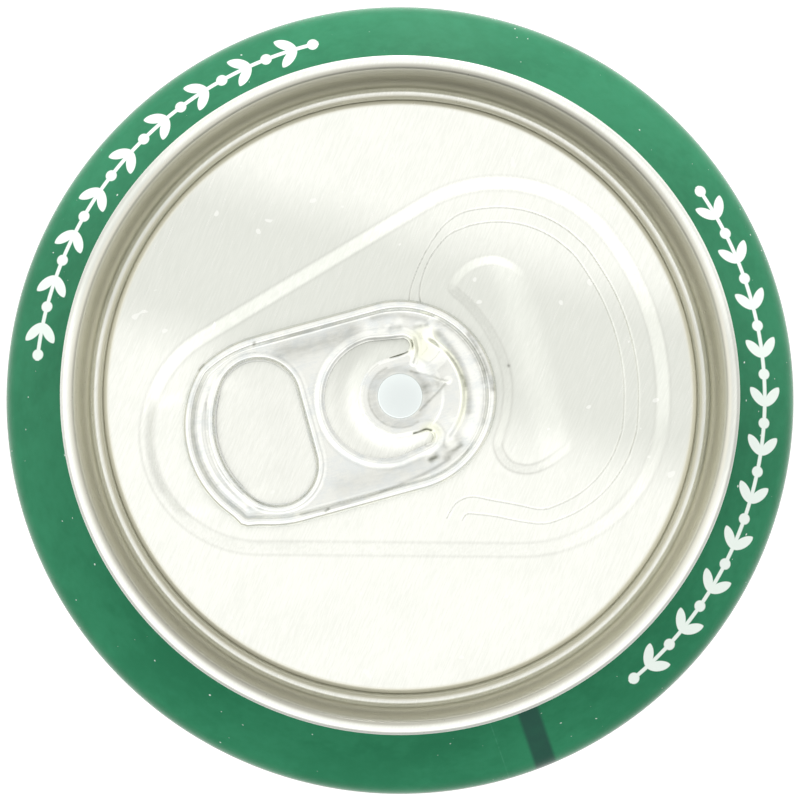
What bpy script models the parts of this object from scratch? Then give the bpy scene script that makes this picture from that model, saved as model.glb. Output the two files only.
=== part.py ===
# A shut aluminium drinks can: the filled body, the end seamed onto it, and
# the stay-on tab riveted to the end.
#
# Metres, +Z up. The origin is the middle of the base. +X runs along the end's
# line of symmetry, from the finger end of the tab to the pour opening.

import math

import bmesh
import bpy
from mathutils import Vector

MM = 0.001

# The whole can
CAN_HEIGHT = 122.2 * MM
BODY_RADIUS = 33.1 * MM
SEGMENTS = 72  # sides of every turned shape
ARC_STEP = math.radians(20)  # the most that one facet of a rounded corner turns
FIT_GAP = 0.3 * MM  # clearance between pieces that touch in the real can
OVERCUT = 0.4 * MM  # how far a cutter passes the face that it cuts

# Neck, where the body narrows to the end
NECK_RADIUS = 27.55 * MM
NECK_ANGLE = math.radians(36)  # of the cone, from the vertical
NECK_CURVE = 3.5 * MM
SHOULDER_CURVE = 4.5 * MM
NECK_STRAIGHT = 1.6 * MM  # of the neck above the cone, to the sharp corner

# Base, which is tapered, stands on a narrow ring and is domed inwards
TAPER_HEIGHT = 9.0 * MM
TAPER_CURVE = 7.0 * MM
STAND_OUTER = 26.2 * MM
STAND_FLARE = 0.35 * MM  # how much wider the ring is where it meets the taper
STAND_INNER = 23.2 * MM
STAND_HEIGHT = 2.6 * MM
STAND_CURVE = 1.1 * MM
DOME_RADIUS = 46.0 * MM
DOME_DEPTH = 10.2 * MM
DOME_EDGE = 21.9 * MM  # where the sphere gives way to the inner wall of the stand
DOME_RINGS = 7

# End: the double seam, the sloping chuck wall, the groove and the panel
SEAM_OUTER = 28.18 * MM
SEAM_INNER = 27.08 * MM
SEAM_HEIGHT = 2.5 * MM
SEAM_CURVE = 0.54 * MM
GROOVE_OUTER = 25.8 * MM
GROOVE_INNER = 24.8 * MM
GROOVE_DEPTH = 6.6 * MM
GROOVE_CURVE = 0.47 * MM
PANEL_DEPTH = 4.4 * MM
PANEL_CURVE = 0.4 * MM
PLUG_TOP = 26.85 * MM  # outside of the end inside the neck
PLUG_BOTTOM = 26.2 * MM
PLUG_DEPTH = 7.5 * MM

# Relief of the panel
RECESS_DEPTH = 0.45 * MM  # the large teardrop that holds the tab
RECESS_SLOPE = 1.15 * MM
POUR_SIDE_RADIUS = 22.5 * MM
POUR_CORNER = (9.5 * MM, 3.7 * MM)
FINGER_SIDE_CENTRE = -12.1 * MM
FINGER_SIDE_RADIUS = 10.0 * MM
BEAD_DEPTH = 0.4 * MM  # the hollow in the tear panel, which fades out towards the rim
BEAD_SLOPE = 0.5 * MM
BEAD_GAP = 0.8 * MM  # from the tab's nose to the hollow's near side
BEAD_HUG = 34  # degrees either side of +X where the near side follows the nose
BEAD_START = 6.0 * MM
BEAD_SHOULDER = 12.0 * MM
BEAD_END = 14.6 * MM
BEAD_LOBE = 9.2 * MM  # half its length
BEAD_WAIST = 6.8 * MM  # where a lobe begins
BEAD_WAIST_CURVE = 1.2 * MM
BEAD_LOBE_CURVE = 1.8 * MM
BEAD_SHOULDER_CURVE = 2.5 * MM
BEAD_FAR_CURVE = 8.0 * MM
WELL_DEPTH = 0.4 * MM  # the dip under the finger end of the tab
WELL_SLOPE = 0.8 * MM
WELL_CURVE = 3.2 * MM
WELL_START = -20.4 * MM
WELL_END = -10.0 * MM
WELL_HALF_WIDTH = 5.2 * MM

# Tab
NOSE_RADIUS = 8.05 * MM
TAB_CORNER_START = -10.5 * MM
TAB_CORNER_RADIUS = 10.0 * MM
TAB_CORNER_END = -15.5 * MM
FINGER_END_CENTRE = -9.2 * MM
FINGER_END_RADIUS = 9.2 * MM
TAB_THICKNESS = 1.1 * MM
CURL_WIDTH = 1.1 * MM  # the rolled rim all round the tab
CURL_ROUND = 0.5 * MM
CURL_STEPS = 6
WEB_DEPTH = 0.35 * MM  # how far the flat web lies below the rim
HOLE_END_CENTRE = -7.8 * MM
HOLE_END_RADIUS = 7.8 * MM
HOLE_CORNER_RADIUS = 3.2 * MM
HOLE_RIGHT = -8.2 * MM
HOLE_CURL = 0.7 * MM
EDGE_ROUND = 0.15 * MM  # the worn-off edge of a hole or a rim
ISLAND_RADIUS = 3.4 * MM  # the tongue round the rivet, inside the C-shaped slot
ISLAND_DEPTH = 0.65 * MM
SLOT_CENTRE = (-1.35 * MM, 0.15 * MM)
SLOT_RADIUS = 4.95 * MM
SLOT_END = 1.3 * MM
SLOT_ARM = 0.55 * MM  # half the width of the slot's two ends
SLOT_TAPER = 0.3 * MM
NOSE_POCKET_INNER = 3.2 * MM  # the dished sector between the rivet and the nose
NOSE_POCKET_OUTER = 5.6 * MM
NOSE_POCKET_ANGLE = math.radians(52)
NOSE_POCKET_DEPTH = 0.55 * MM

# Rivet, formed up from the end through the tab
RIVET_SHAFT = 1.7 * MM
RIVET_HEAD = 2.6 * MM
RIVET_BUTTON = 1.88 * MM
RIVET_HEAD_THICKNESS = 0.3 * MM
RIVET_BUTTON_RISE = 0.12 * MM
RIVET_EDGE = 0.1 * MM

RIM = CAN_HEIGHT
PANEL = RIM - PANEL_DEPTH
RECESS_FLOOR = PANEL - RECESS_DEPTH
TAB_BOTTOM = RECESS_FLOOR + FIT_GAP
TAB_TOP = TAB_BOTTOM + TAB_THICKNESS
ISLAND_TOP = TAB_TOP - ISLAND_DEPTH


def clear_scene():
    for obj in list(bpy.data.objects):
        bpy.data.objects.remove(obj, do_unlink=True)


def material(name, colour, roughness, metallic):
    made = bpy.data.materials.new(name)
    made.use_nodes = True
    shader = made.node_tree.nodes["Principled BSDF"]
    shader.inputs["Base Color"].default_value = (*colour, 1.0)
    shader.inputs["Roughness"].default_value = roughness
    shader.inputs["Metallic"].default_value = metallic
    return made


def add_object(name, mesh_in_progress, finish=None):
    """Turns a bmesh into a named object with outward faces."""
    bmesh.ops.remove_doubles(mesh_in_progress, verts=mesh_in_progress.verts, dist=1e-6)
    bmesh.ops.recalc_face_normals(mesh_in_progress, faces=mesh_in_progress.faces)
    mesh = bpy.data.meshes.new(name)
    mesh_in_progress.to_mesh(mesh)
    mesh_in_progress.free()
    obj = bpy.data.objects.new(name, mesh)
    bpy.context.scene.collection.objects.link(obj)
    if finish:
        mesh.materials.append(finish)
        mesh.shade_smooth()
        mesh.set_sharp_from_angle(angle=math.radians(40))
    return obj


def arc(centre, radius, start, end, steps):
    """Points on an arc about centre, with its angles in degrees."""
    points = []
    for step in range(steps + 1):
        angle = math.radians(start + (end - start) * step / steps)
        points.append(
            Vector((centre[0] + radius * math.cos(angle), centre[1] + radius * math.sin(angle)))
        )
    return points


def rounded(corners):
    """The points of a path of (x, y, radius) corners, each turned into an arc of its radius.

    Its two ends are kept as they are."""
    points = []
    for index, (x, y, radius) in enumerate(corners):
        here = Vector((x, y))
        if radius == 0 or index in (0, len(corners) - 1):
            points.append(here)
            continue
        before = (Vector(corners[index - 1][:2]) - here).normalized()
        after = (Vector(corners[index + 1][:2]) - here).normalized()
        half = before.angle(after) / 2
        centre = here + (before + after).normalized() * radius / math.sin(half)
        spoke = here + before * radius / math.tan(half) - centre
        turn = math.pi - 2 * half
        if before.cross(after) > 0:
            turn = -turn
        steps = max(1, math.ceil(abs(turn) / ARC_STEP))
        for step in range(steps + 1):
            angle = turn * step / steps
            cosine, sine = math.cos(angle), math.sin(angle)
            points.append(
                centre
                + Vector((spoke.x * cosine - spoke.y * sine, spoke.x * sine + spoke.y * cosine))
            )
    return points


def inset(outline, distance):
    """The closed anticlockwise outline moved inwards by distance, along its corners' bisectors."""
    moved = []
    count = len(outline)
    for index, point in enumerate(outline):
        before = (point - outline[index - 1]).normalized()
        after = (outline[(index + 1) % count] - point).normalized()
        normal = Vector((-before.y - after.y, before.x + after.x)).normalized()
        cosine = normal.dot(Vector((-before.y, before.x)))
        moved.append(point + normal * distance / max(cosine, 0.5))
    return moved


def turned(name, profile, finish=None):
    """A solid of revolution about Z, from (radius, height) points that start and end on the axis."""
    work = bmesh.new()
    verts = [work.verts.new((r, 0, z)) for r, z in profile]
    edges = [work.edges.new(pair) for pair in zip(verts, verts[1:])]
    bmesh.ops.spin(
        work,
        geom=verts + edges,
        cent=(0, 0, 0),
        axis=(0, 0, 1),
        angle=math.tau,
        steps=SEGMENTS,
        use_merge=True,
    )
    return add_object(name, work, finish)


def stacked(name, outline, layers, finish=None):
    """A solid of level outlines, one for each (inset, height) of layers, from the bottom up."""
    work = bmesh.new()
    rings = []
    for distance, height in layers:
        rings.append([work.verts.new((x, y, height)) for x, y in inset(outline, distance)])
    count = len(outline)
    for lower, upper in zip(rings, rings[1:]):
        for index in range(count):
            following = (index + 1) % count
            work.faces.new((lower[index], lower[following], upper[following], upper[index]))
    work.faces.new(list(reversed(rings[0])))
    work.faces.new(rings[-1])
    return add_object(name, work, finish)


def combine(target, other, operation):
    """Adds a Boolean to target and makes other a hidden helper."""
    modifier = target.modifiers.new(other.name, "BOOLEAN")
    modifier.operation = operation
    modifier.object = other
    modifier.solver = "EXACT"
    other.hide_render = True
    other.display_type = "WIRE"


# Can body

def neck_corners():
    """The neck from under the seam to the wall, with its cone between two curves."""
    cone_top = RIM - SEAM_HEIGHT - FIT_GAP - NECK_STRAIGHT
    cone_bottom = cone_top - (BODY_RADIUS - NECK_RADIUS) / math.tan(NECK_ANGLE)
    return [
        (NECK_RADIUS, RIM - SEAM_HEIGHT - FIT_GAP, 0),
        (NECK_RADIUS, cone_top, NECK_CURVE),
        (BODY_RADIUS, cone_bottom, SHOULDER_CURVE),
    ]


def base_corners():
    """The taper below the wall, and the ring that the can stands on."""
    return [
        (BODY_RADIUS, TAPER_HEIGHT, TAPER_CURVE),
        (STAND_OUTER + STAND_FLARE, STAND_HEIGHT, 2 * STAND_CURVE),
        (STAND_OUTER, 0, STAND_CURVE),
        (STAND_INNER, 0, STAND_CURVE),
    ]


def dome_points():
    """The dome under the can, from its edge up to the axis."""
    top = DOME_DEPTH - DOME_RADIUS
    points = []
    for ring in range(DOME_RINGS + 1):
        r = DOME_EDGE * (1 - ring / DOME_RINGS)
        points.append((r, top + math.sqrt(DOME_RADIUS**2 - r**2), 0))
    return points


def make_body(finish):
    cup_floor = RIM - PLUG_DEPTH - FIT_GAP
    cup = [
        (0, cup_floor, 0),
        (PLUG_BOTTOM + FIT_GAP, cup_floor, 0),
        (PLUG_TOP + FIT_GAP, RIM - SEAM_HEIGHT - FIT_GAP, 0),
    ]
    return turned("can_body", rounded(cup + neck_corners() + base_corners() + dome_points()), finish)


# End

def end_corners():
    """The end from the middle of its panel, over the seam and back under to the axis."""
    return [
        (0, PANEL, 0),
        (GROOVE_INNER, PANEL, PANEL_CURVE),
        (GROOVE_INNER, RIM - GROOVE_DEPTH, GROOVE_CURVE),
        (GROOVE_OUTER, RIM - GROOVE_DEPTH, GROOVE_CURVE),
        (SEAM_INNER, RIM, SEAM_CURVE),
        (SEAM_OUTER, RIM, SEAM_CURVE),
        (SEAM_OUTER, RIM - SEAM_HEIGHT, 0),
        (PLUG_TOP, RIM - SEAM_HEIGHT, 0),
        (PLUG_BOTTOM, RIM - PLUG_DEPTH, 0),
        (0, RIM - PLUG_DEPTH, 0),
    ]


def teardrop_outline():
    """The edge of the large recess: four arcs that meet smoothly, and two straight sides."""
    corner_x, corner_y = POUR_CORNER
    reach = math.hypot(corner_x, corner_y)
    corner_radius = POUR_SIDE_RADIUS - reach
    turn = math.degrees(math.atan2(corner_y, corner_x))
    run = corner_x - FINGER_SIDE_CENTRE
    growth = corner_radius - FINGER_SIDE_RADIUS
    slope = math.atan2(corner_y, run) + math.asin(growth / math.hypot(run, corner_y))
    side = 90 + math.degrees(slope)
    return (
        arc((0, 0), POUR_SIDE_RADIUS, -turn, turn, 5)[:-1]
        + arc((corner_x, corner_y), corner_radius, turn, side, 9)
        + arc((FINGER_SIDE_CENTRE, 0), FINGER_SIDE_RADIUS, side, 360 - side, 16)
        + arc((corner_x, -corner_y), corner_radius, 360 - side, 360 - turn, 9)[:-1]
    )


def bead_outline():
    """The kidney-shaped hollow in the tear panel, whose near side follows the tab's nose."""
    hugging = arc((0, 0), NOSE_RADIUS + BEAD_GAP, BEAD_HUG, -BEAD_HUG, 9)
    upper = [
        (BEAD_SHOULDER, BEAD_LOBE, BEAD_SHOULDER_CURVE),
        (BEAD_START, BEAD_LOBE, BEAD_LOBE_CURVE),
        (BEAD_START, BEAD_WAIST, BEAD_WAIST_CURVE),
        (hugging[0].x, hugging[0].y, 0),
    ]
    lower = [(x, -y, radius) for x, y, radius in reversed(upper)]
    return rounded(lower + [(BEAD_END, 0, BEAD_FAR_CURVE)] + upper) + hugging[1:-1]


def tilt_floor(obj, low_x, high_x, rise):
    """Shears the lowest layer of a cutter, so that it cuts deepest at low_x and not at all at high_x."""
    bottom = min(vertex.co.z for vertex in obj.data.vertices)
    for vertex in obj.data.vertices:
        if vertex.co.z < bottom + 1e-6:
            vertex.co.z += rise * (vertex.co.x - low_x) / (high_x - low_x)


def make_recess(end):
    layers = [(RECESS_SLOPE, RECESS_FLOOR), (0, PANEL), (0, PANEL + OVERCUT)]
    combine(end, stacked("recess_cutter", teardrop_outline(), layers), "DIFFERENCE")


def make_bead(end):
    layers = [(BEAD_SLOPE, RECESS_FLOOR - BEAD_DEPTH), (0, RECESS_FLOOR + OVERCUT)]
    cutter = stacked("bead_cutter", bead_outline(), layers)
    tilt_floor(cutter, BEAD_START, BEAD_END, BEAD_DEPTH)
    combine(end, cutter, "DIFFERENCE")


def make_finger_well(end):
    half = WELL_HALF_WIDTH
    corners = [
        (WELL_END, 0, 0),
        (WELL_END, half, WELL_CURVE),
        (WELL_START, half, WELL_CURVE),
        (WELL_START, -half, WELL_CURVE),
        (WELL_END, -half, WELL_CURVE),
        (WELL_END, 0, 0),
    ]
    layers = [(WELL_SLOPE, RECESS_FLOOR - WELL_DEPTH), (0, RECESS_FLOOR + OVERCUT)]
    cutter = stacked("well_cutter", rounded(corners)[:-1], layers)
    tilt_floor(cutter, WELL_START, WELL_END, WELL_DEPTH)
    combine(end, cutter, "DIFFERENCE")


def make_rivet(end):
    head_bottom = ISLAND_TOP + FIT_GAP
    head_top = head_bottom + RIVET_HEAD_THICKNESS
    root = RECESS_FLOOR - OVERCUT
    profile = [
        (0, head_top + RIVET_BUTTON_RISE),
        (RIVET_BUTTON - RIVET_EDGE, head_top + RIVET_BUTTON_RISE),
        (RIVET_BUTTON, head_top),
        (RIVET_HEAD - RIVET_EDGE, head_top),
        (RIVET_HEAD, head_bottom + RIVET_EDGE),
        (RIVET_HEAD - RIVET_EDGE, head_bottom),
        (RIVET_SHAFT, head_bottom),
        (RIVET_SHAFT, root),
        (0, root),
    ]
    combine(end, turned("rivet", profile), "UNION")


def make_end(finish):
    end = turned("can_end", rounded(end_corners()), finish)
    make_recess(end)
    make_bead(end)
    make_finger_well(end)
    make_rivet(end)
    return end


# Tab

def tab_outline():
    """The nose, the straight sides, the finger end, and the curves that join them in a slight corner."""
    nose = arc((0, 0), NOSE_RADIUS, -90, 90, 18)
    centre_y = NOSE_RADIUS - TAB_CORNER_RADIUS
    sweep = math.degrees(math.asin((TAB_CORNER_START - TAB_CORNER_END) / TAB_CORNER_RADIUS))
    upper = arc((TAB_CORNER_START, centre_y), TAB_CORNER_RADIUS, 90, 90 + sweep, 4)
    turn = math.degrees(math.atan2(upper[-1].y, upper[-1].x - FINGER_END_CENTRE))
    finger = arc((FINGER_END_CENTRE, 0), FINGER_END_RADIUS, turn, 360 - turn, 12)
    lower = arc((TAB_CORNER_START, -centre_y), TAB_CORNER_RADIUS, 270 - sweep, 270, 4)
    return nose + upper + finger[1:-1] + lower


def finger_hole_outline():
    """The hole for a fingertip: a wide arc, two tighter corners and a straight side."""
    corner_x = HOLE_RIGHT - HOLE_CORNER_RADIUS
    reach = HOLE_END_RADIUS - HOLE_CORNER_RADIUS
    turn = math.acos((corner_x - HOLE_END_CENTRE) / reach)
    corner_y = reach * math.sin(turn)
    degrees = math.degrees(turn)
    return (
        arc((corner_x, corner_y), HOLE_CORNER_RADIUS, 0, degrees, 8)
        + arc((HOLE_END_CENTRE, 0), HOLE_END_RADIUS, degrees, 360 - degrees, 10)[1:-1]
        + arc((corner_x, -corner_y), HOLE_CORNER_RADIUS, 360 - degrees, 360, 8)
    )


def slot_outline():
    """The C-shaped slot that frees the island, with its two arms running towards the nose."""
    upper = SLOT_CENTRE[1] + SLOT_RADIUS - SLOT_TAPER
    lower = SLOT_CENTRE[1] - SLOT_RADIUS + SLOT_TAPER
    arm_y = ISLAND_RADIUS + SLOT_ARM
    return (
        [Vector((SLOT_END, upper))]
        + arc(SLOT_CENTRE, SLOT_RADIUS, 90, 270, 16)
        + [Vector((SLOT_END, lower))]
        + arc((SLOT_END, -arm_y), SLOT_ARM, -60, 90, 4)
        + arc((0, 0), ISLAND_RADIUS, 256, 104, 14)
        + arc((SLOT_END, arm_y), SLOT_ARM, -90, 60, 4)
    )


def nose_pocket_outline():
    """The sector between the island and the nose that is pressed down."""
    reach = math.degrees(NOSE_POCKET_ANGLE)
    outer = arc((0, 0), NOSE_POCKET_OUTER, -reach, reach, 10)
    return outer + arc((0, 0), NOSE_POCKET_INNER, reach, -reach, 8)


def curl_layers():
    """The round section of the tab's rolled rim."""
    layers = []
    for step in range(CURL_STEPS + 1):
        angle = math.pi * (step / CURL_STEPS - 0.5)
        height = TAB_BOTTOM + TAB_THICKNESS * (1 + math.sin(angle)) / 2
        layers.append((CURL_ROUND * (1 - math.cos(angle)), height))
    return layers


def through_layers(top):
    """A cutter right through the tab, whose upper edge at top is chamfered."""
    return [
        (0, TAB_BOTTOM - OVERCUT),
        (0, top - EDGE_ROUND),
        (-EDGE_ROUND - OVERCUT, top + OVERCUT),
    ]


def disc(name, radius, bottom):
    """A round cutter from bottom up past the top of the tab."""
    top = TAB_TOP + OVERCUT
    return turned(name, [(0, top), (radius, top), (radius, bottom), (0, bottom)])


def make_tab(finish):
    tab = stacked("tab", tab_outline(), curl_layers(), finish)
    web = TAB_TOP - WEB_DEPTH
    over = TAB_TOP + OVERCUT
    web_layers = [(CURL_WIDTH, web), (CURL_WIDTH - OVERCUT, over)]
    combine(tab, stacked("web_cutter", tab_outline(), web_layers), "DIFFERENCE")

    rim_top = TAB_TOP - EDGE_ROUND
    rim_layers = [
        (-HOLE_CURL, web - OVERCUT),
        (-HOLE_CURL, rim_top - EDGE_ROUND),
        (EDGE_ROUND - HOLE_CURL, rim_top),
    ]
    combine(tab, stacked("hole_rim", finger_hole_outline(), rim_layers), "UNION")

    pocket_layers = [(EDGE_ROUND, TAB_TOP - NOSE_POCKET_DEPTH), (-EDGE_ROUND, over)]
    cutters = [
        stacked("hole_cutter", finger_hole_outline(), through_layers(rim_top)),
        disc("island_cutter", ISLAND_RADIUS + EDGE_ROUND, ISLAND_TOP),
        stacked("pocket_cutter", nose_pocket_outline(), pocket_layers),
        stacked("slot_cutter", slot_outline(), through_layers(web)),
        disc("rivet_hole", RIVET_SHAFT + FIT_GAP, TAB_BOTTOM - OVERCUT),
    ]
    for cutter in cutters:
        combine(tab, cutter, "DIFFERENCE")
    return tab


def main():
    clear_scene()
    make_body(material("green_lacquer", (0.045, 0.24, 0.13), 0.3, 0.0))
    make_end(material("end_aluminium", (0.86, 0.86, 0.83), 0.3, 1.0))
    make_tab(material("tab_aluminium", (0.83, 0.84, 0.82), 0.25, 1.0))


main()
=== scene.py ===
# A shut drinks can seen from above: green lacquered body, bare aluminium end, stay-on tab.
# Lengths are in millimetres until a piece is made, and angles in degrees.
# +X runs from the tab's finger end to the pour side, +Z is up, and the can stands on Z = 0.

import math

import bpy
import numpy as np
from mathutils import Matrix, Vector


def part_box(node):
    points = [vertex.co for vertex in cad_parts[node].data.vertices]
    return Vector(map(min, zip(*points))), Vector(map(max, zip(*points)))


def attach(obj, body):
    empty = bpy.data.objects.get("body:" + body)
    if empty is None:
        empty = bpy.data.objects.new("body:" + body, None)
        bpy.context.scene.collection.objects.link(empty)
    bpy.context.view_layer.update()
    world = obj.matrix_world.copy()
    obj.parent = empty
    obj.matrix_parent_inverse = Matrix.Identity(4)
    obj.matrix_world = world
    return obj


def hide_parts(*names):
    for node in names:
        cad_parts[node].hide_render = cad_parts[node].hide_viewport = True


mm = 0.001
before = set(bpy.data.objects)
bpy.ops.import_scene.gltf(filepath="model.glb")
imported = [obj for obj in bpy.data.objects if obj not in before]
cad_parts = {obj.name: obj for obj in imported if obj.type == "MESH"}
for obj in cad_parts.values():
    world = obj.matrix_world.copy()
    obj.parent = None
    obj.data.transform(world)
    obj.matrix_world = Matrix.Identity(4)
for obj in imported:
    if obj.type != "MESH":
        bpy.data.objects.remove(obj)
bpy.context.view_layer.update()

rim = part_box("can_end")[1].z / mm
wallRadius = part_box("can_body")[1].x / mm
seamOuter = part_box("can_end")[1].x / mm
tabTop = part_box("tab")[1].z / mm
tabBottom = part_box("tab")[0].z / mm
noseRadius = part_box("tab")[1].x / mm
panel = rim - 4.4  # the flat of the end, before its relief
photoTurn = 15.3  # degrees from the photo's right to +X


def photoAxes():
    # the photo's right and up, as directions over the end
    roll = math.radians(photoTurn)
    right = Vector((math.cos(roll), -math.sin(roll), 0))
    up = Vector((math.sin(roll), math.cos(roll), 0))
    return right, up


# Lines and distances

def arc(centre, radius, start, end, turn=4):
    steps = max(2, math.ceil(abs(end - start) / turn))
    angles = np.radians(np.linspace(start, end, steps + 1))
    return [(centre[0] + radius * math.cos(a), centre[1] + radius * math.sin(a)) for a in angles]


def rounded(corners, turn=8):
    # corners are (x, y, radius), and the two ends stay sharp
    line = [corners[0][:2]]
    for before, (x, y, radius), after in zip(corners, corners[1:], corners[2:]):
        here = Vector((x, y))
        if radius == 0:
            line.append((x, y))
            continue
        back = (Vector(before[:2]) - here).normalized()
        on = (Vector(after[:2]) - here).normalized()
        half = back.angle(on) / 2
        centre = here + (back + on).normalized() * radius / math.sin(half)
        first = here + back * radius / math.tan(half) - centre
        sweep = math.degrees(math.pi - 2 * half) * (-1 if back.cross(on) > 0 else 1)
        start = math.degrees(math.atan2(first.y, first.x))
        line += arc(centre, radius, start, start + sweep, turn)
    return line + [corners[-1][:2]]


def smoothLine(points, steps=4):
    # a flowing line through a few points
    points = np.array(points, float)
    ends = np.vstack([2 * points[0] - points[1], points, 2 * points[-1] - points[-2]])
    line = []
    for a, b, c, d in zip(ends, ends[1:], ends[2:], ends[3:]):
        for t in np.arange(steps) / steps:
            bend = (2 * a - 5 * b + 4 * c - d) * t**2 + (3 * b - a - 3 * c + d) * t**3
            line.append(tuple(b + ((c - a) * t + bend) / 2))
    return line + [tuple(points[-1])]


def feetOn(points, line):
    # for each stretch of a line, its spot nearest to every point, and the squared distance
    x, y = np.ascontiguousarray(points.T)
    for (x0, y0), (x1, y1) in zip(line, line[1:]):
        runX, runY = x1 - x0, y1 - y0
        along = ((x - x0) * runX + (y - y0) * runY) / max(runX**2 + runY**2, 1e-12)
        along = along.clip(0, 1)
        spotX, spotY = x0 + along * runX, y0 + along * runY
        yield (spotX, spotY), (x - spotX) ** 2 + (y - spotY) ** 2


def nearestOn(points, line):
    # how far each point is from a line, and the spot of the line nearest to it
    gap = np.full(len(points), np.inf)
    foot = np.zeros((2, len(points)))
    for spot, away in feetOn(points, line):
        closer = away < gap
        gap = np.where(closer, away, gap)
        foot = np.where(closer, spot, foot)
    return np.sqrt(gap), foot.T


def gapTo(points, line):
    # the distance alone, which is quicker
    gap = np.full(len(points), np.inf)
    for _, away in feetOn(points, line):
        np.minimum(gap, away, out=gap)
    return np.sqrt(gap)


def closed(line):
    return list(line) + [line[0]]


def depthIn(points, outline):
    # how far each point is inside a closed outline, negative outside
    x, y = points.T
    within = np.zeros(len(points), bool)
    for (x0, y0), (x1, y1) in zip(outline, outline[1:]):
        if y0 != y1:
            within ^= ((y0 > y) != (y1 > y)) & (x < (x1 - x0) * (y - y0) / (y1 - y0) + x0)
    return np.where(within, 1, -1) * gapTo(points, outline)


def ramp(value, low, high, soft=0.1):
    # 0 up to low, 1 past high, a straight slope between, and its corners rounded
    offsets = np.linspace(-soft, soft, 9)
    slopes = [np.clip((value + offset - low) / (high - low), 0, 1) for offset in offsets]
    return sum(slopes) / len(slopes)


def swell(value, low, high):
    # an S-curve from 0 at low to 1 at high
    t = np.clip((value - low) / (high - low), 0, 1)
    return t * t * (3 - 2 * t)


def hump(value, middle, width):
    return np.exp(-(((value - middle) / width) ** 2))


def quarterRound(depth, radius):
    # 0 at an edge, 1 from radius on, as a round edge rises
    return np.sqrt(1 - (1 - np.clip(depth / radius, 0, 1)) ** 2)


def stroke(points, line, width):
    # 1 along a flowing line, fading softly to both sides
    return hump(gapTo(points, smoothLine(line)), 0, width)


def crease(points, line, width):
    # 1 along a line, falling straight to 0 on both sides, as a folded sheet does
    return np.clip(1 - gapTo(points, line) / width, 0, 1)


# Modelling helpers

def editing(piece, kind):
    # edit mode on one piece with nothing selected
    if bpy.context.mode != "OBJECT":
        bpy.ops.object.mode_set(mode="OBJECT")
    bpy.ops.object.select_all(action="DESELECT")
    piece.select_set(True)
    bpy.context.view_layer.objects.active = piece
    bpy.ops.object.mode_set(mode="EDIT")
    bpy.ops.mesh.select_mode(type=kind)
    bpy.ops.mesh.select_all(action="DESELECT")


def doneEditing():
    bpy.ops.object.mode_set(mode="OBJECT")


def rows(items, name, width, kind=float):
    # one value of every point, edge or face of a mesh, with a row for each
    flat = np.empty(width * len(items), kind)
    items.foreach_get(name, flat)
    return flat.reshape(-1, width)


def places(piece):
    return rows(piece.data.vertices, "co", 3) / mm


def setPlaces(piece, points):
    piece.data.vertices.foreach_set("co", (points * mm).ravel())
    piece.data.update()


def faceMiddles(piece):
    return rows(piece.data.polygons, "center", 3) / mm


def pickFaces(piece, wanted):
    editing(piece, "FACE")
    doneEditing()
    piece.data.polygons.foreach_set("select", wanted)
    bpy.ops.object.mode_set(mode="EDIT")


def finer(piece, wanted):
    # cuts the wanted faces into four
    pickFaces(piece, wanted)
    bpy.ops.mesh.subdivide(number_cuts=1, ngon=False)
    doneEditing()


def openVerts(piece):
    # which vertices lie on an open edge
    mesh = piece.data
    corners = rows(mesh.loops, "edge_index", 1, int).ravel()
    uses = np.bincount(corners, minlength=len(mesh.edges))
    found = np.zeros(len(mesh.vertices), bool)
    found[rows(mesh.edges, "vertices", 2, int)[uses == 1]] = True
    return found


def pickOpen(piece):
    # selects every open edge
    editing(piece, "EDGE")
    bpy.ops.mesh.select_non_manifold()


def turnOutline(name, outline, steps):
    # one point is pulled along the outline, and the line is spun once round the can's axis
    bpy.ops.object.select_all(action="DESELECT")
    startX, startZ = outline[0]
    bpy.ops.mesh.primitive_plane_add(size=mm, location=(startX * mm, 0, startZ * mm))
    piece = bpy.context.object
    piece.name = piece.data.name = name
    bpy.ops.object.mode_set(mode="EDIT")
    bpy.ops.mesh.merge(type="CENTER")
    for (x0, z0), (x1, z1) in zip(outline, outline[1:]):
        step = ((x1 - x0) * mm, 0, (z1 - z0) * mm)
        bpy.ops.mesh.extrude_region_move(TRANSFORM_OT_translate={"value": step})
    bpy.ops.mesh.select_all(action="SELECT")
    bpy.ops.mesh.spin(steps=steps, angle=math.tau, center=(0, 0, 0), axis=(0, 0, 1))
    bpy.ops.mesh.select_all(action="SELECT")
    bpy.ops.mesh.remove_doubles(threshold=0.001 * mm)
    doneEditing()
    bpy.ops.object.transform_apply(location=True)
    return piece


def keepMarks(piece, marks):
    # a value for each point, which the finish reads as stains and as lines of painted shade
    layer = piece.data.attributes.new("marks", "FLOAT", "POINT")
    layer.data.foreach_set("value", np.ascontiguousarray(marks, np.float32))


def finished(piece, finish, node, sharpAngle):
    # closed, turned outwards, smooth, and set in its place in the frame
    editing(piece, "VERT")
    bpy.ops.mesh.select_all(action="SELECT")
    bpy.ops.mesh.quads_convert_to_tris(quad_method="BEAUTY", ngon_method="BEAUTY")
    bpy.ops.mesh.normals_make_consistent(inside=False)
    doneEditing()
    bpy.ops.object.shade_smooth_by_angle(angle=math.radians(sharpAngle))
    piece.data.materials.clear()
    piece.data.materials.append(finish)
    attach(piece, "root")
    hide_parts(node)
    triangles = sum(len(face.vertices) - 2 for face in piece.data.polygons)
    print(piece.name, "has", triangles, "triangles and", int(openVerts(piece).sum()), "open vertices")


# Finishes

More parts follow.
